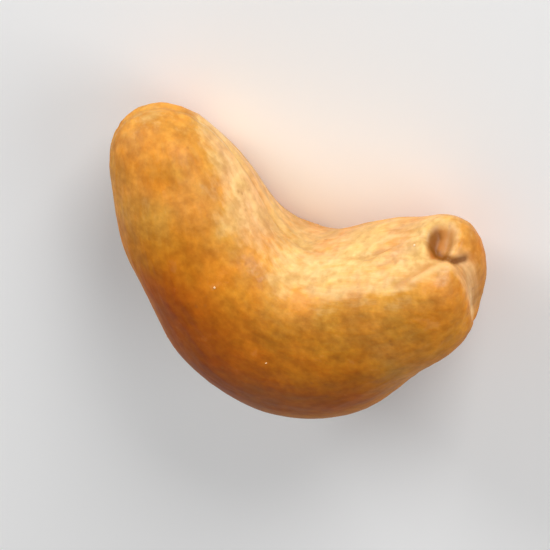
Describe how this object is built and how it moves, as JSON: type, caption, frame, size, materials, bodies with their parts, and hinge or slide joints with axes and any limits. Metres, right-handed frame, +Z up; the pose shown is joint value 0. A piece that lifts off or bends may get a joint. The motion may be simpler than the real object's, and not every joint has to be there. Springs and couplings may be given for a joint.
{
  "type": "cashew nut",
  "caption": "Whole roasted cashew kernel, a curved and twisted crescent with a fine seam and a dimpled tip, lying on its broad side as a snack nut.",
  "frame": {"origin": "middle of the bounding box, on the ground plane under the nut", "axes": "+X along the chord of the crescent towards the dimpled tip, +Y out of the hollow side, +Z up from the broad side that the nut lies on"},
  "size_m": [0.0252, 0.0188, 0.0105],
  "materials": {
    "roasted_skin": "satin, slightly oily roasted surface"
  },
  "bodies": {
    "root": {"cashew_nut": "roasted_skin"}
  },
  "joints": []
}
